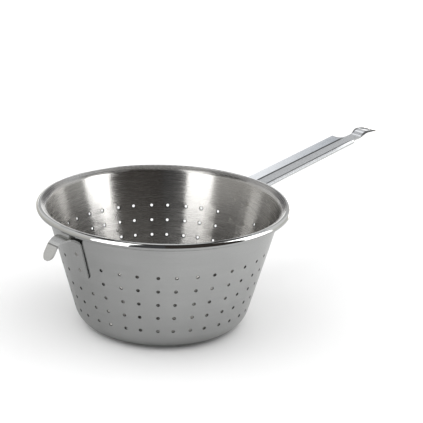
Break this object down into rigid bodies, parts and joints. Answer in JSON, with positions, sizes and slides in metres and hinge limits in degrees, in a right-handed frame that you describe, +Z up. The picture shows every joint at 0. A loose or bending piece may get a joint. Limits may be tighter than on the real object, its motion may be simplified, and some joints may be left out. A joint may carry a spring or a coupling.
{
  "type": "perforated pasta strainer",
  "caption": "Round perforated steel strainer with a flat base, leaning wall, rolled rim, long channel handle with hanging hole, and a strap hook for a pot rim.",
  "frame": {"origin": "middle of the flat underside of the base, on the bowl's axis", "axes": "+Z up along the bowl's axis, +X along the handle, so the hook is on -X; X-Z is the plane of symmetry"},
  "size_m": [0.4656, 0.25, 0.1466],
  "materials": {
    "bowl_steel": "stainless steel, satin brushed round the bowl, rim polished",
    "wire_steel": "drawn steel wire",
    "handle_steel": "stainless steel, brushed along the handle",
    "hook_steel": "stainless steel, satin strap, brighter on the bends",
    "weld_steel": "pressed and slightly darkened weld spots"
  },
  "bodies": {
    "root": {"bowl": "bowl_steel", "rim_wire": "wire_steel", "handle": "handle_steel", "handle_spot_welds": "weld_steel", "hook": "hook_steel", "hook_spot_welds": "weld_steel"}
  },
  "joints": []
}
